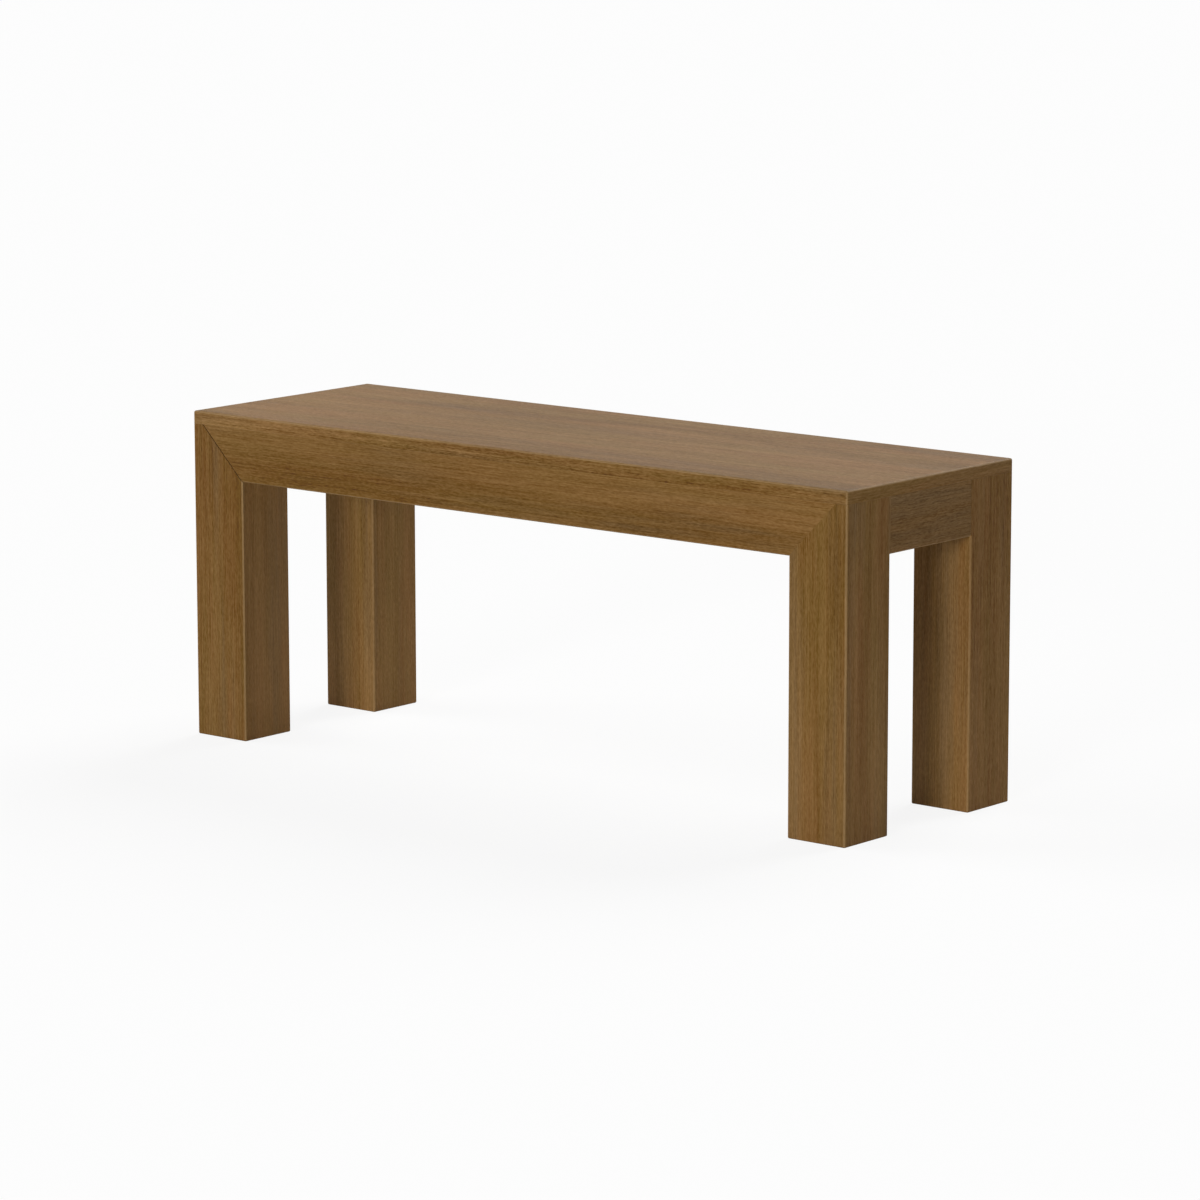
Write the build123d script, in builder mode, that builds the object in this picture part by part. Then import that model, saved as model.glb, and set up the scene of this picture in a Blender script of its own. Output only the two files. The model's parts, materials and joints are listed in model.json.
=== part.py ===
from build123d import *
import os
from math import radians, sqrt, tan

os.makedirs("parts", exist_ok=True)

# A backless dining bench in solid wood. The origin is at the middle of its outline on the
# floor, X runs along the seat, the front is at -Y and Z is up. All lengths are in millimetres.

# Whole bench
bench_length = 1134
bench_depth = 358
bench_height = 457
leg_width = 92
apron_depth = 92  # from the top of the seat to the lower edge of the rails
edge_round = 3  # on every edge that a hand or a leg can meet
foot_easing = 2
overrun = 1  # how far a cut runs past the wood

# Seat panel of boards glued edge to edge
seat_thickness = 18
board_count = 3

# Rails
rail_thickness = 22
rail_easing = 1.5  # on the hidden lower edges

# Flat on the inner corner of each leg, and the block that faces it
leg_flat = 50  # measured along each face of the leg
block_thickness = 25
block_height = 60
block_drop = 6  # from the seat down to the block
block_gap = 3  # left between block and leg, so that the bolts can draw the joint tight

# Hanger bolts with washers and nuts
bolt_diameter = 8
bolt_spacing = 32
bolt_in_leg = 45
bolt_end = 5  # thread that shows past the nut
bolt_tip = 7
bolt_chamfer = 1
bolt_play = 0.5  # radial, in the block
fastener_fit = 0.1  # radial, where a thread grips
washer_diameter = 20
washer_thickness = 1.6
nut_flats = 13
nut_height = 6.5
nut_chamfer = 0.8

# Screws of the corner blocks, with round heads in pockets square to the rails
block_screw_diameter = 4.5
block_screw_head_diameter = 9
block_screw_head_height = 3
block_screw_spacing = 30
block_screw_grip = 16  # wood of the block under the head
block_screw_in_rail = 16
block_screw_share = 0.3  # of the width on which the block meets the rail
pocket_play = 1  # radial, round the head

# Cleats along the long rails, screwed to the rails and to the seat
cleat_width = 20
cleat_height = 20
cleat_end_gap = 10
cleat_easing = 1
cleat_screw_diameter = 4
cleat_screw_head_diameter = 8
cleat_screw_head_height = 2.5  # of the round heads under the slots
cleat_screw_in_rail = 15
countersink_angle = 90
seat_screw_in_seat = 12
slot_travel = 4  # lets the seat panel swell and shrink across its grain
seat_screw_shares = (-0.9, -0.25, 0.25, 0.9)
rail_screw_shares = (-0.75, -0.12, 0.12, 0.75)

# Cross stretchers, notched to pass under the cleats
stretcher_width = 22
stretcher_height = 45
stretcher_share = 0.5
stretcher_screw_in_cleat = 15
notch_clearance = 0.2

screw_tip = 4  # pointed end of every screw

# Levels and faces that several pieces follow
frame_top = bench_height - seat_thickness
rail_bottom = bench_height - apron_depth
rail_height = frame_top - rail_bottom
half_length = bench_length / 2
half_depth = bench_depth / 2
clear_length = bench_length - 2 * leg_width
clear_depth = bench_depth - 2 * leg_width
leg_x = half_length - leg_width / 2
leg_y = half_depth - leg_width / 2
long_rail_inner = half_depth - rail_thickness
end_rail_inner = half_length - rail_thickness

# On the long sides leg and rail meet on the line from the bench's outer top corner to the
# corner where they part below, so the rail has run this far over the leg where the seat starts.
mitre_run = leg_width * rail_height / apron_depth

# A corner block lies at 45 degrees. Its reaches are counted along either rail from the corner
# where the inner faces of the two rails would meet.
flat_reach = 2 * (leg_width - rail_thickness) - leg_flat
block_foot = block_thickness * sqrt(2)
block_near = flat_reach + block_gap * sqrt(2)
block_far = block_near + block_foot
block_middle = frame_top - block_drop - block_height / 2
block_screw_reach = block_near + block_screw_share * block_foot
pocket_radius = block_screw_head_diameter / 2 + pocket_play
pocket_start = block_far - block_screw_reach + pocket_radius
pocket_depth = pocket_start - block_screw_grip

half_cleat = end_rail_inner - block_far - cleat_end_gap
cleat_y = long_rail_inner - cleat_width / 2
cleat_z = frame_top - cleat_height / 2
stretcher_x = stretcher_share * half_cleat
stretcher_bottom = frame_top - stretcher_height
tongue_height = stretcher_height - cleat_height - notch_clearance

# Every piece is drawn once, at the back and the left, and mirrored to its other places.
floor = Plane.XY
rail_level = Plane.XY.offset(rail_bottom)
seat_level = Plane.XY.offset(frame_top)
back_face = Plane.XZ.offset(-half_depth)
long_rail_inner_face = Plane.XZ.offset(-long_rail_inner)
cleat_face = Plane.XZ.offset(cleat_width - long_rail_inner)
left_face = Plane.YZ.offset(-half_length)
end_rail_inner_face = Plane.YZ.offset(-end_rail_inner)
bolt_plane = Plane(
    origin=(block_far / 2 - end_rail_inner, long_rail_inner - block_far / 2, block_middle),
    x_dir=(1, 1, 0),
    z_dir=(1, -1, 0),
)

# Places of the fasteners, each in the plane of the face that it goes through
bolt_places = [(0, -bolt_spacing / 2), (0, bolt_spacing / 2)]
block_screw_levels = [block_middle - block_screw_spacing / 2, block_middle + block_screw_spacing / 2]
long_rail_block_places = [(block_screw_reach - end_rail_inner, level) for level in block_screw_levels]
end_rail_block_places = [(long_rail_inner - block_screw_reach, level) for level in block_screw_levels]
seat_screw_places = [(share * half_cleat, cleat_y) for share in seat_screw_shares]
rail_screw_places = [(share * half_cleat, cleat_z) for share in rail_screw_shares]
stretcher_screw_places = [(-stretcher_x, cleat_y), (stretcher_x, cleat_y)]

block_screw_hole = block_screw_diameter / 2 + fastener_fit
cleat_screw_hole = cleat_screw_diameter / 2 + fastener_fit
cleat_screw_sink = cleat_screw_head_diameter / 2 + fastener_fit


def save(piece, name):
    piece.label = name
    export_step(piece, "parts/" + name + ".step")


def save_pair(piece, mirror_plane, name, mirrored_name):
    save(piece, name)
    save(piece.mirror(mirror_plane), mirrored_name)


def save_corners(piece, name):
    """One piece at each corner of the bench, from the one at the back left."""
    save_pair(piece, Plane.YZ, name + "_back_left", name + "_back_right")
    save_pair(piece.mirror(Plane.XZ), Plane.YZ, name + "_front_left", name + "_front_right")


def long_rail_outline():
    Polygon(
        (-clear_length / 2, rail_bottom),
        (clear_length / 2, rail_bottom),
        (clear_length / 2 + mitre_run, frame_top),
        (-clear_length / 2 - mitre_run, frame_top),
        align=None,
    )


def round_head_screw(diameter, length, head_diameter, head_height):
    """A screw that points down, with the underside of its head at the origin."""
    with BuildPart() as turned:
        with BuildSketch(Plane.XZ):
            with BuildLine():
                crown = TangentArc((0, head_height), (head_diameter / 2, 0), tangent=(1, 0))
                shank = Polyline(crown @ 1, (diameter / 2, 0), (diameter / 2, screw_tip - length), (0, -length))
                Line(shank @ 1, crown @ 0)
            make_face()
        revolve(axis=Axis.Z)
    return turned.part


def countersunk_screw(diameter, length, head_diameter):
    """A screw that points down, with the flat top of its head at the origin."""
    with BuildPart() as turned:
        with BuildSketch(Plane.XZ):
            with BuildLine():
                head_height = (head_diameter - diameter) / 2 / tan(radians(countersink_angle / 2))
                head = Polyline((0, 0), (head_diameter / 2, 0), (diameter / 2, -head_height))
                shank = Polyline(head @ 1, (diameter / 2, screw_tip - length), (0, -length))
                Line(shank @ 1, head @ 0)
            make_face()
        revolve(axis=Axis.Z)
    return turned.part


# Seat panel, cut into its boards. Its corners and upper edges are rounded, and it has the
# pilot holes of the screws that come up through the cleats.
with BuildPart() as seat_panel:
    with BuildSketch(seat_level):
        RectangleRounded(bench_length, bench_depth, edge_round)
    extrude(amount=seat_thickness)
    fillet(seat_panel.edges().group_by(Axis.Z)[-1], edge_round)
    with BuildSketch(seat_level):
        with Locations(seat_screw_places):
            Circle(cleat_screw_hole)
        mirror(about=Plane.XZ)
    extrude(amount=seat_screw_in_seat + fastener_fit, mode=Mode.SUBTRACT)

board_width = bench_depth / board_count
for board in range(board_count):
    with BuildPart() as seat_board:
        add(seat_panel.part)
        with BuildSketch(seat_level):
            with Locations((0, (board + 0.5) * board_width - half_depth)):
                Rectangle(bench_length, board_width)
        extrude(amount=seat_thickness, mode=Mode.INTERSECT)
    save(seat_board.part, f"seat_board_{board + 1}")

# Long rail, with the pilot holes of the block screws and the cleat screws
with BuildPart() as long_rail:
    with BuildSketch(back_face):
        long_rail_outline()
    extrude(amount=rail_thickness)
    fillet(long_rail.edges().filter_by(Axis.X).group_by(Axis.Z)[0].sort_by(Axis.Y)[-1], edge_round)
    fillet(long_rail.edges().filter_by(Axis.X).group_by(Axis.Z)[0].sort_by(Axis.Y)[0], rail_easing)
    with BuildSketch(long_rail_inner_face):
        with Locations(long_rail_block_places):
            Circle(block_screw_hole)
        mirror(about=Plane.YZ)
    extrude(amount=-block_screw_in_rail - fastener_fit, mode=Mode.SUBTRACT)
    with BuildSketch(long_rail_inner_face):
        with Locations(rail_screw_places):
            Circle(cleat_screw_hole)
    extrude(amount=-cleat_screw_in_rail - fastener_fit, mode=Mode.SUBTRACT)
save_pair(long_rail.part, Plane.XZ, "back_rail", "front_rail")

# End rail, butted between two legs
with BuildPart() as end_rail:
    with BuildSketch(left_face):
        with Locations((0, rail_bottom + rail_height / 2)):
            Rectangle(clear_depth, rail_height)
    extrude(amount=rail_thickness)
    fillet(end_rail.edges().filter_by(Axis.Y).group_by(Axis.Z)[0].sort_by(Axis.X)[0], edge_round)
    fillet(end_rail.edges().filter_by(Axis.Y).group_by(Axis.Z)[0].sort_by(Axis.X)[-1], rail_easing)
    with BuildSketch(end_rail_inner_face):
        with Locations(end_rail_block_places):
            Circle(block_screw_hole)
        mirror(about=Plane.YZ)
    extrude(amount=-block_screw_in_rail - fastener_fit, mode=Mode.SUBTRACT)
save_pair(end_rail.part, Plane.YZ, "left_end_rail", "right_end_rail")

# Leg. Beside the rails only the bench's outer corner and the corner that the long rail's notch
# takes away are rounded, and the inner corner has its flat for the bolts.
with BuildPart() as leg:
    with BuildSketch(floor):
        with Locations((-leg_x, leg_y)):
            RectangleRounded(leg_width, leg_width, edge_round)
    extrude(amount=rail_bottom)
    fillet(leg.edges().group_by(Axis.Z)[0], foot_easing)
    with BuildSketch(rail_level) as shoulder:
        with Locations((-leg_x, leg_y)):
            Rectangle(leg_width, leg_width)
        fillet(shoulder.vertices().group_by(Axis.Y)[-1], edge_round)
        chamfer(shoulder.vertices().group_by(Axis.Y)[0].sort_by(Axis.X)[-1], leg_flat)
    extrude(amount=rail_height)
    with BuildSketch(back_face):
        long_rail_outline()
    extrude(amount=rail_thickness, mode=Mode.SUBTRACT)
    with Locations(bolt_plane):
        with Locations(bolt_places):
            Hole(bolt_diameter / 2 + fastener_fit, block_thickness + block_gap + bolt_in_leg + fastener_fit)
save_corners(leg.part, "leg")

# Corner block between the two rails, across the flat of the leg
with BuildPart() as corner_block:
    with BuildSketch(Plane.XY.offset(block_middle - block_height / 2)):
        with Locations((-end_rail_inner, long_rail_inner)):
            Polygon((block_near, 0), (block_far, 0), (0, -block_far), (0, -block_near), align=None)
    extrude(amount=block_height)
    with Locations(bolt_plane):
        with Locations(bolt_places):
            Hole(bolt_diameter / 2 + bolt_play)
    with Locations(long_rail_inner_face.offset(pocket_start)):
        with Locations(long_rail_block_places):
            CounterBoreHole(block_screw_hole, pocket_radius, pocket_depth, pocket_start + overrun)
    with Locations(end_rail_inner_face.offset(pocket_start)):
        with Locations(end_rail_block_places):
            CounterBoreHole(block_screw_hole, pocket_radius, pocket_depth, pocket_start + overrun)
save_corners(corner_block.part, "corner_block")

# Cleat along the long rail: slots up into the seat, countersunk holes into the rail and
# pilot holes for the screws of the stretchers
with BuildPart() as cleat:
    with BuildSketch(seat_level):
        with Locations((0, cleat_y)):
            Rectangle(2 * half_cleat, cleat_width)
    extrude(amount=-cleat_height)
    chamfer(cleat.edges().filter_by(Axis.X).group_by(Axis.Z)[0].sort_by(Axis.Y)[0], cleat_easing)
    with BuildSketch(seat_level):
        with Locations(seat_screw_places):
            SlotCenterToCenter(slot_travel, 2 * cleat_screw_hole, rotation=90)
    extrude(amount=-cleat_height, mode=Mode.SUBTRACT)
    with Locations(cleat_face):
        with Locations(rail_screw_places):
            CounterSinkHole(cleat_screw_hole, cleat_screw_sink, cleat_width, countersink_angle)
    with BuildSketch(seat_level.offset(-cleat_height)):
        with Locations(stretcher_screw_places):
            Circle(cleat_screw_hole)
    extrude(amount=stretcher_screw_in_cleat + fastener_fit, mode=Mode.SUBTRACT)
save_pair(cleat.part, Plane.XZ, "back_cleat", "front_cleat")

# Cross stretcher, notched at both ends so that its tongues pass under the cleats
with BuildPart() as stretcher:
    with BuildSketch(Plane.YZ.offset(-stretcher_x)):
        with Locations((0, stretcher_bottom + tongue_height / 2)):
            Rectangle(2 * long_rail_inner, tongue_height)
        with Locations((0, frame_top - stretcher_height / 2)):
            Rectangle(2 * (long_rail_inner - cleat_width - notch_clearance), stretcher_height)
    extrude(amount=stretcher_width / 2, both=True)
    with Locations(-Plane.XY.offset(stretcher_bottom)):
        with Locations([(-stretcher_x, -cleat_y), (-stretcher_x, cleat_y)]):
            CounterSinkHole(cleat_screw_hole, cleat_screw_sink, tongue_height, countersink_angle)
save_pair(stretcher.part, Plane.YZ, "left_stretcher", "right_stretcher")

# Hanger bolt: a pointed half in the leg, a machine half through the block
bolt_outer_end = washer_thickness + nut_height + bolt_end
bolt_inner_end = -block_thickness - block_gap - bolt_in_leg
with BuildPart() as hanger_bolt:
    with BuildSketch(Plane.XZ):
        with BuildLine():
            Polyline(
                (0, bolt_outer_end),
                (bolt_diameter / 2 - bolt_chamfer, bolt_outer_end),
                (bolt_diameter / 2, bolt_outer_end - bolt_chamfer),
                (bolt_diameter / 2, bolt_inner_end + bolt_tip),
                (0, bolt_inner_end),
                close=True,
            )
        make_face()
    revolve(axis=Axis.Z)

with BuildPart() as washer:
    with BuildSketch():
        Circle(washer_diameter / 2)
        Circle(bolt_diameter / 2 + bolt_play, mode=Mode.SUBTRACT)
    extrude(amount=washer_thickness)

with BuildPart() as nut:
    with BuildSketch(Plane.XY.offset(washer_thickness)):
        Circle(nut_flats / sqrt(3))
    extrude(amount=nut_height)
    chamfer(nut.edges().group_by(Axis.Z)[-1], nut_chamfer)
    with BuildSketch(Plane.XY.offset(washer_thickness)):
        RegularPolygon(nut_flats / 2, 6, major_radius=False)
    extrude(amount=nut_height, mode=Mode.INTERSECT)
    Hole(bolt_diameter / 2 + fastener_fit)

for fastener, name in ((hanger_bolt, "hanger_bolts"), (washer, "bolt_washers"), (nut, "bolt_nuts")):
    with BuildPart(bolt_plane) as group:
        with Locations(bolt_places):
            add(fastener.part)
        mirror(about=Plane.YZ)
        mirror(about=Plane.XZ)
    save(group.part, name)

block_screw = round_head_screw(
    block_screw_diameter,
    block_screw_grip + block_screw_in_rail,
    block_screw_head_diameter,
    block_screw_head_height,
)
with BuildPart() as corner_block_screws:
    with Locations(long_rail_inner_face.offset(block_screw_grip)):
        with Locations(long_rail_block_places):
            add(block_screw)
    with Locations(end_rail_inner_face.offset(block_screw_grip)):
        with Locations(end_rail_block_places):
            add(block_screw)
    mirror(about=Plane.YZ)
    mirror(about=Plane.XZ)
save(corner_block_screws.part, "corner_block_screws")

rail_screw = countersunk_screw(
    cleat_screw_diameter,
    cleat_width + cleat_screw_in_rail,
    cleat_screw_head_diameter,
)
with BuildPart() as cleat_rail_screws:
    with Locations(cleat_face):
        with Locations(rail_screw_places):
            add(rail_screw)
    mirror(about=Plane.XZ)
save(cleat_rail_screws.part, "cleat_rail_screws")

seat_screw = round_head_screw(
    cleat_screw_diameter,
    cleat_height + seat_screw_in_seat,
    cleat_screw_head_diameter,
    cleat_screw_head_height,
)
with BuildPart() as cleat_seat_screws:
    with Locations(-seat_level.offset(-cleat_height)):
        with Locations(seat_screw_places):
            add(seat_screw)
    mirror(about=Plane.XZ)
save(cleat_seat_screws.part, "cleat_seat_screws")

stretcher_screw = countersunk_screw(
    cleat_screw_diameter,
    stretcher_height - cleat_height + stretcher_screw_in_cleat,
    cleat_screw_head_diameter,
)
with BuildPart() as stretcher_screws:
    with Locations(-Plane.XY.offset(stretcher_bottom)):
        with Locations(stretcher_screw_places):
            add(stretcher_screw)
    mirror(about=Plane.XZ)
save(stretcher_screws.part, "stretcher_screws")
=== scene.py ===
import json
from math import cos, pi, radians, sin

import bpy
from mathutils import Matrix, Vector

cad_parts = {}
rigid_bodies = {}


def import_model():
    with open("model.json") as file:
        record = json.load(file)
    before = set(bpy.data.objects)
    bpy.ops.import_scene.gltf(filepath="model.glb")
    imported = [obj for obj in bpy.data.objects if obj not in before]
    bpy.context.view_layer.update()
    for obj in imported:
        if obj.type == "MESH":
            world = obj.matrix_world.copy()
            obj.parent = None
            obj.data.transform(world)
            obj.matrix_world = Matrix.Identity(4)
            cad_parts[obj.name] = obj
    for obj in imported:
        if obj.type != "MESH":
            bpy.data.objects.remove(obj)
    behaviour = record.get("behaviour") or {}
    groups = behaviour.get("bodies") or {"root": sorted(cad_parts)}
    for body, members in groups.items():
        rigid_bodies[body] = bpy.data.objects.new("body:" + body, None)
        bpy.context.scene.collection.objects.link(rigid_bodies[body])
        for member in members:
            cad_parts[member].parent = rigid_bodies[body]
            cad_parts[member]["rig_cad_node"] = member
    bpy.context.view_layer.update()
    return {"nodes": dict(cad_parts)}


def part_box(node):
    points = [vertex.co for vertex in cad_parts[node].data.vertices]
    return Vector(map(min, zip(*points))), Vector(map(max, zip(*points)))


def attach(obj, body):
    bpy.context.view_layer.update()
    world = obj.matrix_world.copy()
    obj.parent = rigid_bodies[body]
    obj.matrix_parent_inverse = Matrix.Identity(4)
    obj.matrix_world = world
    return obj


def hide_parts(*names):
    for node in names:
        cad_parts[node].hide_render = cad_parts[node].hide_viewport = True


# A dining bench in brushed brown wood. Its joinery comes from the CAD model. This script makes
# some pieces again: the wood that shows, with rounded edges, the bolts with their threads, and
# the screws with their cross recesses. Then it gives every piece its finish.
# Metres; the floor is at Z = 0 and the front at -Y.

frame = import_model()

# Sizes

TOUCH = 1e-5
OVERRUN = 0.001  # how far a cutter stands out of what it cuts
EDGE_ROUND = 0.003
FOOT_EASING = 0.002
HIDDEN_EASING = 0.0015
PANEL_EASING = 0.0002
LEG_FLAT = 0.050  # taken off each inner side by the flat that faces the corner block
MITRE_OPENING = 0.0009  # along the rail, on either side of the front left mitre
BUTT_OPENING = 0.0004  # between the right end rail and the back leg
LEVEL, RIM, FACET = 0.9986, 0.90, 0.77  # cosines between faces: flat, edge of a round, in a round
SMOOTH_BELOW = radians(40)

SCREWS = {  # diameter, head diameter, and the height of a round head or 0 for a countersunk one
    "corner_block_screws": (0.0045, 0.009, 0.003),
    "cleat_seat_screws": (0.004, 0.008, 0.0025),
    "cleat_rail_screws": (0.004, 0.008, 0),
    "stretcher_screws": (0.004, 0.008, 0),
}
SCREW_TIP = 0.004
HEAD_SEGMENTS, HEAD_RINGS = 32, 24
RECESS_SHARE, RECESS_DEPTH, WING = 0.62, 0.0019, 0.0014  # share of the head, depth, wing width
RECESS_FLOOR = 0.45  # how much of the recess's width is left at its floor
BOLT_RADIUS, THREAD_LENGTH, BOLT_TIP, BOLT_CHAMFER = 0.004, 0.0411, 0.007, 0.001
THREAD_PITCH, THREAD_DEPTH, THREAD_STEPS = 0.00125, 0.00075, 20
TURNS_BELOW, SPARE_TURNS = 1.5, 4  # of the thread's winding, before it is sawn to length
TURN_OF_EACH = 0.9  # radians that each fastener is turned on from the one before

RAIL_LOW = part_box("back_rail")[0]
LEG_LOW, LEG_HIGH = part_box("leg_back_left")
MITRE_CORNER = Vector((LEG_HIGH.x, 0, RAIL_LOW.z))
DOWN_LEFT = Vector((-1, 0, -1)).normalized()
CORNERS = {
    "back_left": (-1, 1),
    "back_right": (1, 1),
    "front_left": (-1, -1),
    "front_right": (1, -1),
}

# Bench work


def lay_down():
    """Leaves edit mode and selects nothing."""
    if bpy.context.object and bpy.context.object.mode != "OBJECT":
        bpy.ops.object.mode_set(mode="OBJECT")
    bpy.ops.object.select_all(action="DESELECT")


def take(piece, edit=False):
    """Selects one piece alone. For edit mode, all of it is selected there."""
    lay_down()
    piece.select_set(True)
    bpy.context.view_layer.objects.active = piece
    if edit:
        bpy.ops.object.mode_set(mode="EDIT")
        bpy.ops.mesh.select_all(action="SELECT")


def blank(name, low, high):
    """A squared piece of wood between two corners."""
    lay_down()
    bpy.ops.mesh.primitive_cube_add(size=1, location=(low + high) / 2, scale=high - low)
    piece = bpy.context.object
    piece.name = piece.data.name = name
    bpy.ops.object.transform_apply(location=True, rotation=True, scale=True)
    return piece


def on(*lines):
    """A test of corners: do they all lie on one of these lines or planes? None is any value."""
    return lambda corners: any(
        all(
            value is None or abs(corner[axis] - value) < TOUCH
            for corner in corners
            for axis, value in enumerate(line)
        )
        for line in lines
    )


def in_plane(point, normal):
    """A test of corners, as on() is, for a plane that can slope."""
    return lambda corners: all(abs((corner - point).dot(normal)) < TOUCH for corner in corners)


def mark(piece, kind, wanted):
    """Opens a piece in edit mode with the edges or polygons selected whose corners pass."""
    take(piece, edit=True)
    bpy.context.tool_settings.mesh_select_mode = (False, kind == "edges", kind == "polygons")
    bpy.ops.mesh.select_all(action="DESELECT")
    bpy.ops.object.mode_set(mode="OBJECT")
    mesh = piece.data
    for part in getattr(mesh, kind):
        part.select = wanted([mesh.vertices[i].co for i in part.vertices])
    bpy.ops.object.mode_set(mode="EDIT")


def saw(piece, through, facing, keep_both=False):
    """Cuts along a plane. What the plane faces falls off, unless both sides are kept."""
    take(piece, edit=True)
    bpy.ops.mesh.bisect(
        plane_co=through,
        plane_no=facing,
        use_fill=not keep_both,
        clear_outer=not keep_both,
        threshold=TOUCH / 10,
    )
    lay_down()


def plane_off(piece, width, wanted):
    """A flat chamfer."""
    mark(piece, "edges", wanted)
    bpy.ops.mesh.bevel(offset=width, offset_type="OFFSET", segments=1, affect="EDGES")
    lay_down()


def round_over(piece, radius, wanted, segments=4):
    """A quarter round."""
    mark(piece, "edges", wanted)
    bpy.ops.mesh.bevel(
        offset=radius, offset_type="OFFSET", segments=segments, profile=0.5, affect="EDGES"
    )
    lay_down()


def note_wear_and_highlight(piece):
    """Writes edge_wear_and_highlight on the mesh: 1 along the middle of every round, 0 where it
    meets a face. It places pale wear and a painted highlight.
    """
    mesh = piece.data
    around = [[] for _ in mesh.vertices]
    for face in mesh.polygons:
        for i in face.vertices:
            around[i].append(face.normal)
    wear_and_highlight_mask = mesh.attributes.new("edge_wear_and_highlight", "FLOAT", "POINT")
    for i, normals in enumerate(around):
        bends = [(a, a.dot(b)) for a in normals for b in normals if FACET < a.dot(b) < LEVEL]
        edge = any(max(map(abs, a)) > LEVEL and dot > RIM for a, dot in bends)
        under_foot = mesh.vertices[i].co.z < FOOT_EASING - TOUCH
        wear_and_highlight_mask.data[i].value = 0.0 if edge or under_foot or not bends else 1.0


def notch(piece, cutter, operation="DIFFERENCE"):
    """Takes the cutter's shape out of a piece, or with INTERSECT all that is outside it."""
    take(piece)
    cut = piece.modifiers.new("notch", "BOOLEAN")
    cut.operation, cut.solver, cut.object = operation, "EXACT", cutter
    bpy.ops.object.modifier_apply(modifier=cut.name)
    bpy.data.objects.remove(cutter)


def shift_face(piece, wanted, offset):
    """Moves one end of a piece, which makes it shorter or longer."""
    mark(piece, "polygons", wanted)
    bpy.ops.transform.translate(value=offset)
    lay_down()


def twin(piece, name, side_x, side_y):
    """A copy of a back left piece at another corner, with its own mesh."""
    copy = piece.copy()
    copy.data = piece.data.copy()
    copy.name = copy.data.name = name
    bpy.context.scene.collection.objects.link(copy)
    take(copy, edit=True)
    bpy.ops.transform.resize(value=(-side_x, side_y, 1), center_override=(0, 0, 0))
    bpy.ops.mesh.normals_make_consistent(inside=False)
    lay_down()
    return copy


def finish_wood(piece, node):
    """A wooden piece also keeps where its edges are worn pale and get a painted highlight, for the
    finish.
    """
    note_wear_and_highlight(piece)
    return finish_mesh(piece, node)


def finish_mesh(piece, node):
    """Smooth rounds beside flat faces; then the piece stands for its CAD node."""
    take(piece)
    bpy.ops.object.shade_smooth_by_angle(angle=SMOOTH_BELOW)
    flatten = piece.modifiers.new("flat_faces", "WEIGHTED_NORMAL")
    flatten.keep_sharp = True
    bpy.ops.object.modifier_apply(modifier=flatten.name)
    lay_down()
    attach(piece, "root")
    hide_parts(node)
    return piece


# Wood that shows


def make_seat():
    """Three boards, edge to edge. Only the panel's outer edges are rounded."""
    boards = []
    for number in (1, 2, 3):
        node = f"seat_board_{number}"
        low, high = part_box(node)
        board = blank(f"panel_board_{number}", low, high)
        outer = {1: low.y, 2: None, 3: high.y}[number]
        edges = [(low.x, None, high.z), (high.x, None, high.z)]
        if outer:
            edges += [(None, outer, high.z), (low.x, outer, None), (high.x, outer, None)]
        round_over(board, EDGE_ROUND, on(*edges))
        joints = on(*((None, y, None) for y in (low.y, high.y) if y != outer))
        underside = on((None, None, low.z))
        plane_off(board, PANEL_EASING, lambda corners: underside(corners) and not joints(corners))
        boards.append(finish_wood(board, node))
    return boards


def make_long_rails():
    """Both ends are mitred. The front rail is a little short of its left mitre."""
    low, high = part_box("back_rail")
    rail = blank("long_rail_back", low, high)
    saw(rail, MITRE_CORNER, DOWN_LEFT)
    saw(rail, MITRE_CORNER * Vector((-1, 1, 1)), DOWN_LEFT * Vector((-1, 1, 1)))
    round_over(rail, EDGE_ROUND, on((None, high.y, low.z)))
    round_over(rail, HIDDEN_EASING, on((None, low.y, low.z)), segments=3)
    front = twin(rail, "long_rail_front", -1, -1)
    opened = in_plane(MITRE_CORNER, DOWN_LEFT)
    shift_face(front, opened, (MITRE_OPENING, 0, 0))
    return finish_wood(rail, "back_rail"), finish_wood(front, "front_rail")


def make_end_rails():
    """Butted between two legs. The right one is a little short of the back leg."""
    low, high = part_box("left_end_rail")
    rail = blank("end_rail_left", low, high)
    round_over(rail, EDGE_ROUND, on((low.x, None, low.z)))
    round_over(rail, HIDDEN_EASING, on((high.x, None, low.z)), segments=3)
    right = twin(rail, "end_rail_right", 1, 1)
    shift_face(right, on((None, high.y, None)), (0, -BUTT_OPENING, 0))
    return finish_wood(rail, "left_end_rail"), finish_wood(right, "right_end_rail")


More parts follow.
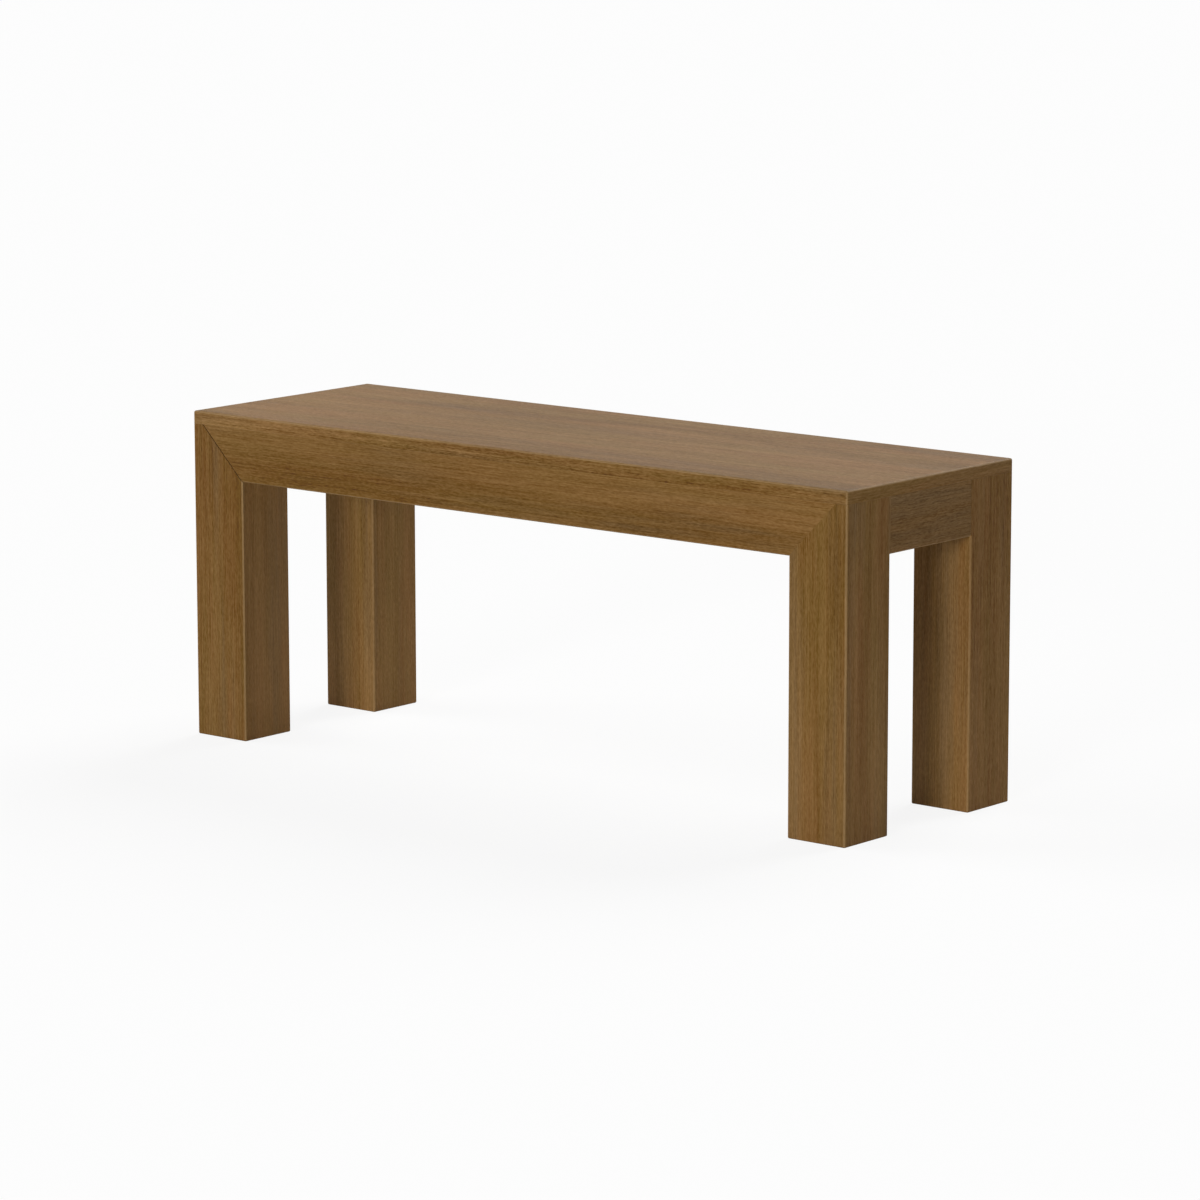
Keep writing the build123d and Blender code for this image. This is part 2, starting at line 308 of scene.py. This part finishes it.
def make_legs():
    """Above the rails' lower edge a leg has a flat inside and a mitred notch for the long rail."""
    low, high = LEG_LOW, LEG_HIGH
    shoulder = RAIL_LOW.z
    leg = blank("leg_back_left_post", low, high)
    saw(leg, (0, 0, shoulder), (0, 0, 1), keep_both=True)
    flat = blank(
        "flat_cutter",
        Vector((high.x - LEG_FLAT, low.y - OVERRUN, shoulder)),
        Vector((high.x + OVERRUN, low.y + LEG_FLAT, high.z + OVERRUN)),
    )
    saw(flat, (high.x - LEG_FLAT, low.y, 0), (-1, 1, 0))
    notch(leg, flat)
    round_over(leg, EDGE_ROUND, on((high.x, high.y, None)))
    mitre = blank(
        "mitre_cutter",
        Vector((low.x - OVERRUN, RAIL_LOW.y, shoulder)),
        Vector((high.x + OVERRUN, high.y + OVERRUN, high.z + OVERRUN)),
    )
    saw(mitre, MITRE_CORNER, DOWN_LEFT)
    notch(leg, mitre)
    outer = on((low.x, high.y, None))
    uprights = on((low.x, low.y, None), (high.x, low.y, None))
    round_over(
        leg,
        EDGE_ROUND,
        lambda c: outer(c) or (uprights(c) and max(p.z for p in c) < shoulder + TOUCH),
    )
    round_over(leg, FOOT_EASING, on((None, None, low.z)), segments=3)
    sides = on((low.x, None, None), (high.x, None, None), (None, low.y, None))
    mark(leg, "edges", lambda c: sides(c) and max(p.z for p in c) > shoulder + TOUCH)
    bpy.ops.mesh.mark_sharp()
    lay_down()
    legs = {"back_left": leg}
    for corner, (side_x, side_y) in CORNERS.items():
        if corner != "back_left":
            legs[corner] = twin(leg, f"leg_{corner}_post", side_x, side_y)
    shift_face(legs["front_left"], in_plane(MITRE_CORNER, DOWN_LEFT), (-MITRE_OPENING, 0, 0))
    return {corner: finish_wood(piece, f"leg_{corner}") for corner, piece in legs.items()}


# Fasteners


def extrude(*offset):
    """Draws what is selected out, and selects the new end."""
    bpy.ops.mesh.extrude_region_move(TRANSFORM_OT_translate={"value": offset})


def rod(radius, low, high, name):
    """An upright cylinder between two heights."""
    lay_down()
    middle = (0, 0, (low + high) / 2)
    bpy.ops.mesh.primitive_cylinder_add(radius=radius, depth=high - low, location=middle)
    piece = bpy.context.object
    piece.name = piece.data.name = name
    bpy.ops.object.transform_apply(location=True, rotation=True, scale=True)
    return piece


def cap(radius, height):
    """A slice of a ball, with its top at the origin."""
    ball = (radius**2 + height**2) / (2 * height)
    lay_down()
    bpy.ops.mesh.primitive_uv_sphere_add(
        segments=HEAD_SEGMENTS, ring_count=HEAD_RINGS, radius=ball, location=(0, 0, -ball)
    )
    piece = bpy.context.object
    bpy.ops.object.transform_apply(location=True, rotation=True, scale=True)
    saw(piece, (0, 0, -height), (0, 0, -1))
    return piece


def make_screw(name, length, diameter, head_diameter, crown):
    """A screw that points down, with the middle of its head's top at the origin."""
    height = crown or (head_diameter - diameter) / 2
    narrow = diameter / head_diameter
    if crown:
        screw = cap(head_diameter / 2, crown)
    else:
        screw = rod(head_diameter / 2, -height, 0, name)
    screw.name = screw.data.name = name
    mark(screw, "polygons", on((None, None, -height)))
    if crown:
        extrude(0, 0, 0)
    bpy.ops.transform.resize(value=(narrow, narrow, 1), center_override=(0, 0, -height))
    extrude(0, 0, height + SCREW_TIP - length)
    extrude(0, 0, -SCREW_TIP)
    bpy.ops.mesh.merge(type="CENTER")
    lay_down()
    span = head_diameter * RECESS_SHARE
    for wide, deep in ((span, WING), (WING, span)):
        reach = Vector((wide / 2, deep / 2, 0))
        down, up = Vector((0, 0, -RECESS_DEPTH)), Vector((0, 0, OVERRUN))
        blade = blank("recess_cutter", down - reach, up + reach)
        mark(blade, "polygons", on((None, None, -RECESS_DEPTH)))
        bpy.ops.transform.resize(value=(RECESS_FLOOR, RECESS_FLOOR, 1), center_override=down)
        notch(screw, blade)
    return screw


def make_hanger_bolt(length):
    """A bolt that points down: a machine thread, then a plain pointed shank for the leg.

    A point is drawn out into the thread's outline, wound up, and sawn to length.
    """
    lay_down()
    flat, rise = THREAD_PITCH / 8, THREAD_PITCH * 3 / 8
    start = (BOLT_RADIUS - THREAD_DEPTH, 0, -THREAD_LENGTH - TURNS_BELOW * THREAD_PITCH)
    bpy.ops.mesh.primitive_plane_add(size=THREAD_PITCH, location=start)
    bolt = bpy.context.object
    bpy.ops.object.transform_apply(location=True, rotation=True, scale=True)
    take(bolt, edit=True)
    bpy.context.tool_settings.mesh_select_mode = (True, False, False)
    bpy.ops.mesh.merge(type="CENTER")
    extrude(0, 0, flat)
    extrude(THREAD_DEPTH, 0, rise)
    extrude(0, 0, flat)
    extrude(-THREAD_DEPTH, 0, rise)
    take(bolt)
    thread = bolt.modifiers.new("thread", "SCREW")
    thread.screw_offset = THREAD_PITCH
    thread.iterations = int(THREAD_LENGTH / THREAD_PITCH) + SPARE_TURNS
    thread.steps = thread.render_steps = THREAD_STEPS
    bpy.ops.object.modifier_apply(modifier=thread.name)
    take(bolt, edit=True)
    bpy.ops.mesh.remove_doubles(threshold=TOUCH / 2)
    saw(bolt, (0, 0, -THREAD_LENGTH), (0, 0, -1))
    saw(bolt, (0, 0, 0), (0, 0, 1))
    take(bolt, edit=True)
    bpy.ops.mesh.normals_make_consistent(inside=False)
    trim = rod(BOLT_RADIUS + BOLT_CHAMFER, -THREAD_LENGTH - OVERRUN, 0, "chamfer_cutter")
    plane_off(trim, 2 * BOLT_CHAMFER, on((None, None, 0)))
    notch(bolt, trim, "INTERSECT")
    mark(bolt, "polygons", on((None, None, -THREAD_LENGTH)))
    extrude(0, 0, THREAD_LENGTH + BOLT_TIP - length)
    extrude(0, 0, -BOLT_TIP)
    bpy.ops.mesh.merge(type="CENTER")
    lay_down()
    return bolt


def seat_of(corners):
    """Where a fastener's solid has the middle of its head, the way it faces, and its length.

    A bolt lies level at 45 degrees, and its head faces the bench's middle. A screw lies along
    one axis, and its head is at the end where it is widest.
    """
    low, high = (Vector([pick(c[i] for c in corners) for i in range(3)]) for pick in (min, max))
    middle, size = (low + high) / 2, high - low
    if abs(size.x - size.y) < TOUCH < size.x - size.z:
        facing = Vector((-middle.x / abs(middle.x), -middle.y / abs(middle.y), 0)).normalized()
    else:
        facing = Vector([float(size[i] == max(size)) for i in range(3)])
        rim = max(corners, key=lambda c: (c - middle - facing * (c - middle).dot(facing)).length)
        facing *= 1 if (rim - middle).dot(facing) > 0 else -1
    reach = [(corner - middle).dot(facing) for corner in corners]
    return middle + facing * max(reach), facing, max(reach) - min(reach)


def solids(node):
    """The corners of every solid in a CAD node."""
    copy = bpy.data.objects.new(node + "_copy", frame["nodes"][node].data.copy())
    bpy.context.scene.collection.objects.link(copy)
    take(copy, edit=True)
    bpy.ops.mesh.remove_doubles(threshold=TOUCH)
    bpy.ops.mesh.separate(type="LOOSE")
    bpy.ops.object.mode_set(mode="OBJECT")
    parts = list(bpy.context.selected_objects)
    found = [[vertex.co.copy() for vertex in part.data.vertices] for part in parts]
    for part in parts:
        bpy.data.objects.remove(part)
    return found


def fit(make, node):
    """Makes a fastener once, and sets a copy of it wherever the CAD node has one."""
    seats = [seat_of(corners) for corners in solids(node)]
    pattern = make(seats[0][2])
    copies = []
    for number, (head, facing, _) in enumerate(seats):
        copy = pattern.copy()
        copy.data = pattern.data.copy()
        bpy.context.scene.collection.objects.link(copy)
        turn = Matrix.Rotation(number * TURN_OF_EACH, 4, "Z")
        stand = facing.to_track_quat("Z", "Y").to_matrix().to_4x4()
        copy.matrix_world = Matrix.Translation(head) @ stand @ turn
        copies.append(copy)
    bpy.data.objects.remove(pattern)
    take(copies[0])
    for copy in copies:
        copy.select_set(True)
    bpy.ops.object.transform_apply(location=True, rotation=True, scale=True)
    bpy.ops.object.join()
    copies[0].name = copies[0].data.name = node + "_set"
    return finish_mesh(copies[0], node)


# Finishes


class Field:
    """A value on its way through a finish. Arithmetic on it adds Math nodes."""

    def __init__(self, finish, socket):
        self.finish, self.socket = finish, socket

    def math(self, operation, *terms):
        return self.finish.add("ShaderNodeMath", {"operation": operation}, dict(enumerate(terms)))

    def __add__(self, other):
        return self.math("ADD", self, other)

    def __sub__(self, other):
        return self.math("SUBTRACT", self, other)

    def __rsub__(self, other):
        return self.math("SUBTRACT", other, self)

    def __mul__(self, other):
        return self.math("MULTIPLY", self, other)

    def __abs__(self):
        return self.math("ABSOLUTE", self)

    __radd__ = __add__

    def largest(self, other):
        return self.math("MAXIMUM", self, other)

    def step(self, start, end):
        """0 up to start and 1 from end, or the other way round, with a soft change between."""
        return self.finish.add(
            "ShaderNodeMapRange",
            {"interpolation_type": "SMOOTHSTEP"},
            {"Value": self, "From Min": start, "From Max": end},
        )

    def hump(self, middle, reach):
        """1 at the middle, falling softly to 0 at the reach on both sides."""
        return abs(self - middle).step(reach, 0)


class Finish:
    """The nodes of one material or of the world."""

    def __init__(self, owner):
        owner.use_nodes = True
        self.owner, self.tree = owner, owner.node_tree
        self.tree.nodes.clear()

    def add(self, kind, settings=None, sockets=None, output=0):
        """One node: its settings first, then its sockets' values or links. Gives one output."""
        node = self.tree.nodes.new(kind)
        for name, value in (settings or {}).items():
            setattr(node, name, value)
        for name, value in (sockets or {}).items():
            if isinstance(value, Field):
                self.tree.links.new(value.socket, node.inputs[name])
            else:
                node.inputs[name].default_value = value
        return Field(self, node.outputs[output]) if node.outputs else node

    def place(self):
        return self.add("ShaderNodeTexCoord", output="Object")

    def scaled(self, vector, factors):
        return self.vector("MULTIPLY", vector, factors)

    def vector(self, operation, first, second):
        """Vector Math on two vectors, or on a vector and a number where it is SCALE."""
        other = "Scale" if operation == "SCALE" else 1
        return self.add(
            "ShaderNodeVectorMath", {"operation": operation}, {0: first, other: second}
        )

    def axes(self, vector):
        return [self.add("ShaderNodeSeparateXYZ", None, {0: vector}, output=i) for i in range(3)]

    def mix(self, first, second, share):
        """From the first colour to the second."""
        return self.add(
            "ShaderNodeMix", {"data_type": "RGBA"}, {0: share, 6: first, 7: second}, output=2
        )

    def noise(self, vector, detail=2.0):
        """About -1 to 1, and 0 on average."""
        grey = self.add(
            "ShaderNodeTexNoise",
            {"noise_dimensions": "3D"},
            {"Vector": vector, "Scale": 1.0, "Detail": detail, "Roughness": 0.5},
        )
        return (grey - 0.5) * 4

    def bump(self, height, depth):
        return self.add(
            "ShaderNodeBump", None, {"Strength": 1.0, "Distance": depth, "Height": height}
        )

    def surface(self, shader):
        self.add("ShaderNodeOutputMaterial", None, {"Surface": shader})
        return self.owner

    def gloss(self, **sockets):
        """A Principled surface. An underscore in a name is a space."""
        named = {name.replace("_", " "): value for name, value in sockets.items()}
        return self.surface(self.add("ShaderNodeBsdfPrincipled", None, named))


def rgb(red, green, blue):
    return (red, green, blue, 1.0)


OLIVE = rgb(0.150, 0.0800, 0.0168)
RUSSET = rgb(0.164, 0.0770, 0.0185)
GREY_BROWN = rgb(0.133, 0.0733, 0.0240)
WAX = (0.100, 0.064, 0.0305)
# pale colour of worn edges, which is also a painted highlight on the rounds
WORN_AND_HIGHLIGHT = rgb(0.30, 0.188, 0.081)
DEEPEST = (0.012, 0.006, 0.002)
PALE, DEEP = rgb(0.56, 0.42, 0.27), rgb(0.42, 0.29, 0.17)
STEEL, DULL_STEEL = rgb(0.62, 0.63, 0.65), rgb(0.42, 0.43, 0.46)
YELLOW, DULL_YELLOW = rgb(0.66, 0.55, 0.30), rgb(0.48, 0.38, 0.22)
TURN = {"X": (0, 0, 0), "Y": (0, 0, -pi / 2), "Z": (0, pi / 2, 0)}  # the grain onto X
BRUSH_MARKS, PORES = 680, 700  # per metre across the grain
PLANED, SCRATCHED = 0.0001, 0.000004  # depth of the marks in planed wood and in plating
GRAIN = {  # where the first board of a kind lies in the pattern, and the step to the next board
    "seat": ((0.3, 0, 0.4), (1.7, 2.1, 0)),
    "seat_end": ((2.3, 0.7, 5.5), (0, 0, 0)),
    "long_rail": ((5.1, 3.3, 1.7), (1, 0, 0)),
    "end_rail": ((7.7, 1.3, 2.9), (1, 0, 0)),
    "leg": ((0, 4.4, 6.2), (1.9, 1, 0)),
    "hidden": ((0, 0.8, 0.2), (3.1, 0, 0)),
}
SEAT_LOOK = {"tone": 0.065, "mottle": 0.25, "warmth": 1.5, "depth": 0.00018, "brush": 1.35}
LEG_LOOKS = {  # painted light and shade of the long side and of the end, wear and painted highlight of the edges, brush marks, mottling
    "back_left": (0.03, 0.11, 0.42, 1.0, 0.30),
    "back_right": (0.07, -0.17, 0.50, 1.0, 0.24),
    "front_left": (-0.32, 0.14, 0.68, 0.88, 0.24),
    "front_right": (-0.21, -0.08, 0.62, 0.84, 0.45),
}


def cut_from(kind, number=0):
    """Where a board lies in the pattern, so that no two boards look the same."""
    first, step = GRAIN[kind]
    return tuple(a + number * b for a, b in zip(first, step))


def brushed_wood(
    name,
    grain,
    start,
    figure=None,
    tone=0.0,
    mottle=0.12,
    warmth=0.8,
    ripple=0.0,
    wear_and_highlight=0.35,
    depth=0.00012,
    brush=1.0,
):
    """Brown wood, brushed along one axis, with pale wax left in the grain.

    Streaks are counted per metre along and across the grain. A figure changes the amounts of wax
    and of grey by the place on the bench, in metres.
    """
    finish = Finish(bpy.data.materials.new(name))
    place = finish.place()
    board = finish.add(
        "ShaderNodeMapping", None, {"Vector": place, "Location": start, "Rotation": TURN[grain]}
    )
    if ripple:
        wave = finish.noise(finish.scaled(board, (26, 20, 20)), detail=1)
        board = finish.vector("ADD", board, finish.vector("SCALE", (0, 1, 1), wave * ripple))

    def streaks(along, across, detail=2.0):
        return finish.noise(finish.scaled(board, (along, across, across)), detail)

    line, dash = streaks(6, BRUSH_MARKS), streaks(32, BRUSH_MARKS)
    speck = streaks(150, BRUSH_MARKS, detail=1)
    fine = line * 0.34 + dash * 0.25 + speck * 0.33
    band = streaks(3.5, 130, detail=3)
    cloud = streaks(1.7, 30, detail=3)
    hue = (streaks(2.3, 21, detail=3) * 0.9 + streaks(5, 90) * 0.5) * warmth
    wax = tone + fine * brush + band * 0.11 + cloud * mottle
    grey = streaks(1.9, 17, detail=3) + streaks(7, 140) * 0.4
    if figure:
        wax, grey = figure(finish, place, wax, grey)
    colour = finish.mix(OLIVE, RUSSET, hue.step(-1.6, 1.6))
    colour = finish.mix(colour, GREY_BROWN, grey.step(-0.2, 1.6))
    colour = finish.vector("ADD", colour, finish.vector("SCALE", WAX, wax))
    colour = finish.vector("MAXIMUM", colour, DEEPEST)
    wear_and_highlight_mask = finish.add("ShaderNodeAttribute", {"attribute_name": "edge_wear_and_highlight"}, output="Fac")
    # pale wear on the rounded edges, partly a painted highlight where light catches the round
    colour = finish.mix(colour, WORN_AND_HIGHLIGHT, wear_and_highlight_mask.step(0.4, 1) * (wear_and_highlight + fine * 0.2 + cloud * 0.15))
    return finish.gloss(
        Base_Color=colour,
        Roughness=0.58 - fine * 0.05,
        Specular_IOR_Level=0.12,
        Normal=finish.bump(fine, depth),
    )


def seat_figure(finish, place, wax, grey):
    """Greyer, darker growth bands along the front and the back of the seat.

    The back band swings back near the middle. Wide streaks grow stronger towards both ends, and
    the left end is paler.
    """
    x, y = finish.axes(place)[:2]
    middle = x.hump(0.07, 0.20)
    sway = finish.noise(finish.scaled(place, (4.2, 5, 1))) * 0.007
    cloud = finish.noise(finish.scaled(place, (3.4, 16, 1)), detail=3)
    front = (y + sway).hump(-0.160, 0.026) * x.step(-0.6, -0.1)
    front = front + (y + sway).hump(-0.134, 0.026) * x.step(0.20, 0.50)
    streak = finish.noise(finish.scaled(place, (5, 26, 1)), detail=3)
    streak = streak * (0.3 + abs(x).step(0.15, 0.50) * 1.2)
    y = y - middle * 0.030 + sway
    back = y.hump(0.084, 0.034) * (1 - middle * 0.4) * x.step(-0.50, -0.25)
    back = back + y.hump(0.094, 0.060) * x.hump(0.26, 0.40) * 0.5
    dark = back * (0.9 + cloud * 0.5) + front * (0.8 + cloud * 0.5)
    pale = x.step(-0.15, -0.55) * 0.22
    wax = wax + streak * 0.10 - dark * 0.26 + pale
    return wax, grey - streak * 0.25 + dark * 0.3 + y.step(0.1, 0.16) * 0.4


def long_rail_figure(finish, place, wax, grey):
    """Paler along the top, darker and greyer along the lower edge, most at both ends."""
    x, _, z = finish.axes(place)
    sway = finish.noise(finish.scaled(place, (5, 1, 20))) * 0.008
    low = (z + sway).step(0.428, 0.376) * (0.75 + abs(x).hump(0.30, 0.25) * 0.5)
    lean = x.step(-0.1, 0.35) * 0.18 - 0.04
    return wax - low * 0.26 + lean, grey + low * 0.15


def grey_figure(finish, place, wax, grey):
    """Greyer all over."""
    return wax, grey + 0.7


def leg_figure(long_side_painted_light, end_side_painted_light):
    """Paler towards the foot, a painted light standing in for light thrown up from the floor; and
    each leg's sides that face along Y and along X made lighter or darker by its own amounts,
    painted light and shade.
    """

    def figure(finish, place, wax, grey):
        z = finish.axes(place)[2]
        normal = finish.add("ShaderNodeNewGeometry", output="Normal")
        side = abs(finish.axes(normal)[0]).step(0.6, 0.8)
        # painted light: the leg grows paler towards the foot, as if lit from the floor
        pale = z.step(0.40, 0.02) * 0.30
        vein = finish.noise(finish.scaled(place, (48, 48, 1.1)))
        # painted light and shade: the sides facing along Y and along X get each leg's own
        # lightening or darkening
        wax = wax + pale + vein * 0.13 + long_side_painted_light + side * (end_side_painted_light - long_side_painted_light)
        return wax, grey + vein * 0.8

    return figure


def plain_wood(name, grain, start):
    """Planed wood with no stain, for what is hidden."""
    finish = Finish(bpy.data.materials.new(name))
    board = finish.add(
        "ShaderNodeMapping",
        None,
        {"Vector": finish.place(), "Location": start, "Rotation": TURN[grain]},
    )
    rings = finish.noise(finish.scaled(board, (2.2, 60, 60)), detail=3)
    fibre = finish.noise(finish.scaled(board, (45, PORES, PORES)))
    plane_marks = finish.noise(finish.scaled(board, (380, 4, 4)))
    colour = finish.mix(PALE, DEEP, (rings + fibre * 0.4).step(-1.2, 1.4))
    return finish.gloss(
        Base_Color=colour,
        Roughness=0.7 + fibre * 0.04,
        Specular_IOR_Level=0.3,
        Normal=finish.bump(fibre + plane_marks * 0.5, PLANED),
    )


def plated_steel(name, light, dark, roughness):
    """Thin, slightly cloudy plating."""
    finish = Finish(bpy.data.materials.new(name))
    place = finish.place()
    cloud = finish.noise(finish.scaled(place, (160, 160, 160)), detail=4)
    scratch = finish.noise(finish.scaled(place, (1100, 1100, 6000)))
    return finish.gloss(
        Base_Color=finish.mix(light, dark, (cloud + scratch * 0.3).step(-1, 1.2)),
        Metallic=1.0,
        Roughness=roughness + cloud * 0.05 + scratch * 0.03,
        Normal=finish.bump(scratch, SCRATCHED),
    )


def dress(piece, material):
    """Gives a piece or a CAD node its finish."""
    if not piece.data.materials:
        piece.data.materials.append(material)
    for i in range(len(piece.data.materials)):
        piece.data.materials[i] = material
    for face in piece.data.polygons:
        face.material_index = 0
    "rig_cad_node" not in piece


# Studio


FLOOR_SIZE = 80
FLOOR_WHITE, FLOOR_GLOW, DOME_GLOW = 0.88, 0.88, 0.04
LAMPS = {  # direction, with 0 at the front and 90 at the right; then height, strength, softness
    "key": (14, 9, 0.64, 16),
    "left_fill": (-70, 30, 0.47, 40),
    "back_light": (180, 40, 0.88, 40),
}
CAMERA_PLACE = (4.37026, -5.23737, 1.4572)
YAW, PITCH, ROLL = radians(39.7328), radians(10.2024), radians(-0.0734)
SENSOR, LENS = 36, 153.887  # millimetres
SIGHT = 200


def make_studio():
    """A white floor and room. From below, the floor is clear and shows the underside."""
    lay_down()
    bpy.ops.mesh.primitive_plane_add(size=FLOOR_SIZE)
    floor = bpy.context.object
    floor.name = "studio_floor"
    finish = Finish(bpy.data.materials.new("studio_floor"))
    seen = seen_rays(finish)
    paint = rgb(FLOOR_WHITE, FLOOR_WHITE, FLOOR_WHITE)
    pale = finish.add("ShaderNodeBsdfDiffuse", None, {"Color": paint})
    white = finish.add("ShaderNodeEmission", None, {"Color": rgb(1, 1, 1), "Strength": 1.0})
    shader = finish.add("ShaderNodeMixShader", None, {0: seen * FLOOR_GLOW, 1: pale, 2: white})
    camera = finish.add("ShaderNodeLightPath", output="Is Camera Ray")
    below = camera * finish.add("ShaderNodeNewGeometry", output="Backfacing")
    clear = finish.add("ShaderNodeBsdfTransparent")
    shader = finish.add("ShaderNodeMixShader", None, {0: below, 1: shader, 2: clear})
    floor.data.materials.append(finish.surface(shader))

    world = Finish(bpy.data.worlds.new("studio"))
    bpy.context.scene.world = world.owner
    seen = seen_rays(world)
    dome, white = (
        world.add("ShaderNodeBackground", None, {"Color": rgb(1, 1, 1), "Strength": strength})
        for strength in (DOME_GLOW, 1.0)
    )
    shader = world.add("ShaderNodeMixShader", None, {0: seen, 1: dome, 2: white})
    world.add("ShaderNodeOutputWorld", None, {"Surface": shader})


def seen_rays(finish):
    """1 for what the camera, a reflection or a glass sees, 0 for the light on the bench."""
    kinds = ("Is Camera Ray", "Is Glossy Ray", "Is Transmission Ray")
    camera, glossy, through = (finish.add("ShaderNodeLightPath", output=kind) for kind in kinds)
    return camera.largest(glossy).largest(through)


def sun(name, direction, height, strength, softness):
    """A lamp that is far off, with its angles in degrees."""
    lamp = bpy.data.lights.new(name, "SUN")
    lamp.energy, lamp.angle = strength * pi, radians(softness)
    holder = bpy.data.objects.new(name, lamp)
    bpy.context.scene.collection.objects.link(holder)
    around, up = radians(direction), radians(height)
    towards = Vector((sin(around) * cos(up), -cos(around) * cos(up), sin(up)))
    holder.rotation_euler = towards.to_track_quat("Z", "Y").to_euler()


def make_camera():
    """Stands where the photographer stood, a little above and off the front right corner."""
    ahead = Vector((-sin(YAW) * cos(PITCH), cos(YAW) * cos(PITCH), -sin(PITCH)))
    level = Vector((cos(YAW), sin(YAW), 0))
    upright = level.cross(ahead)
    right = cos(ROLL) * level + sin(ROLL) * upright
    above = cos(ROLL) * upright - sin(ROLL) * level
    lens = bpy.data.cameras.new("camera")
    lens.sensor_width, lens.lens, lens.clip_end = SENSOR, LENS, SIGHT
    camera = bpy.data.objects.new("camera", lens)
    bpy.context.scene.collection.objects.link(camera)
    turn = Matrix((right, above, -ahead)).transposed().to_4x4()
    camera.matrix_world = Matrix.Translation(CAMERA_PLACE) @ turn
    bpy.context.scene.camera = camera


# The bench

boards = make_seat()
rails = make_long_rails()
end_rails = make_end_rails()
legs = make_legs()

start = cut_from("seat_end")
seat_end = brushed_wood("seat_end", "Y", start, tone=-0.02, warmth=1.5, wear_and_highlight=0.45)
for number, board in enumerate(boards):
    start = cut_from("seat", number)
    material = brushed_wood(f"seat_{number}", "X", start, seat_figure, wear_and_highlight=0.50, **SEAT_LOOK)
    dress(board, material)
    board.data.materials.append(seat_end)
    for face in board.data.polygons:
        face.material_index = int(abs(face.normal.x) > 0.7)
for number, rail in enumerate(rails):
    start = cut_from("long_rail", number)
    material = brushed_wood(f"long_rail_{number}", "X", start, long_rail_figure, brush=0.90)
    dress(rail, material)
for number, rail in enumerate(end_rails):
    start = cut_from("end_rail", number)
    material = brushed_wood(
        f"end_rail_{number}", "Y", start, grey_figure, tone=-0.08, ripple=0.0016
    )
    dress(rail, material)
for number, (corner, leg) in enumerate(legs.items()):
    start = cut_from("leg", number)
    # the first two amounts are painted light and shade of each leg's sides
    long_side_painted_light, end_side_painted_light, wear_and_highlight, brush, mottle = LEG_LOOKS[corner]
    figure = leg_figure(long_side_painted_light, end_side_painted_light)
    material = brushed_wood(
        f"leg_{corner}", "Z", start, figure, mottle=mottle, warmth=1.6, wear_and_highlight=wear_and_highlight, brush=brush
    )
    dress(leg, material)

hidden = {
    "X": ("front_cleat", "back_cleat"),
    "Y": ("left_stretcher", "right_stretcher"),
    "Z": tuple(f"corner_block_{corner}" for corner in CORNERS),
}
for grain, nodes in hidden.items():
    for number, node in enumerate(nodes):
        material = plain_wood(node + "_wood", grain, cut_from("hidden", number))
        dress(frame["nodes"][node], material)
zinc = plated_steel("zinc", STEEL, DULL_STEEL, 0.32)
yellow_zinc = plated_steel("yellow_zinc", YELLOW, DULL_YELLOW, 0.30)
for node in ("bolt_washers", "bolt_nuts"):
    dress(frame["nodes"][node], zinc)
dress(fit(make_hanger_bolt, "hanger_bolts"), zinc)
for node, sizes in SCREWS.items():
    screws = fit(lambda length: make_screw(node, length, *sizes), node)
    dress(screws, yellow_zinc)

make_studio()
for name, lamp in LAMPS.items():
    sun(name, *lamp)
make_camera()
bpy.context.scene.view_settings.view_transform = "Standard"
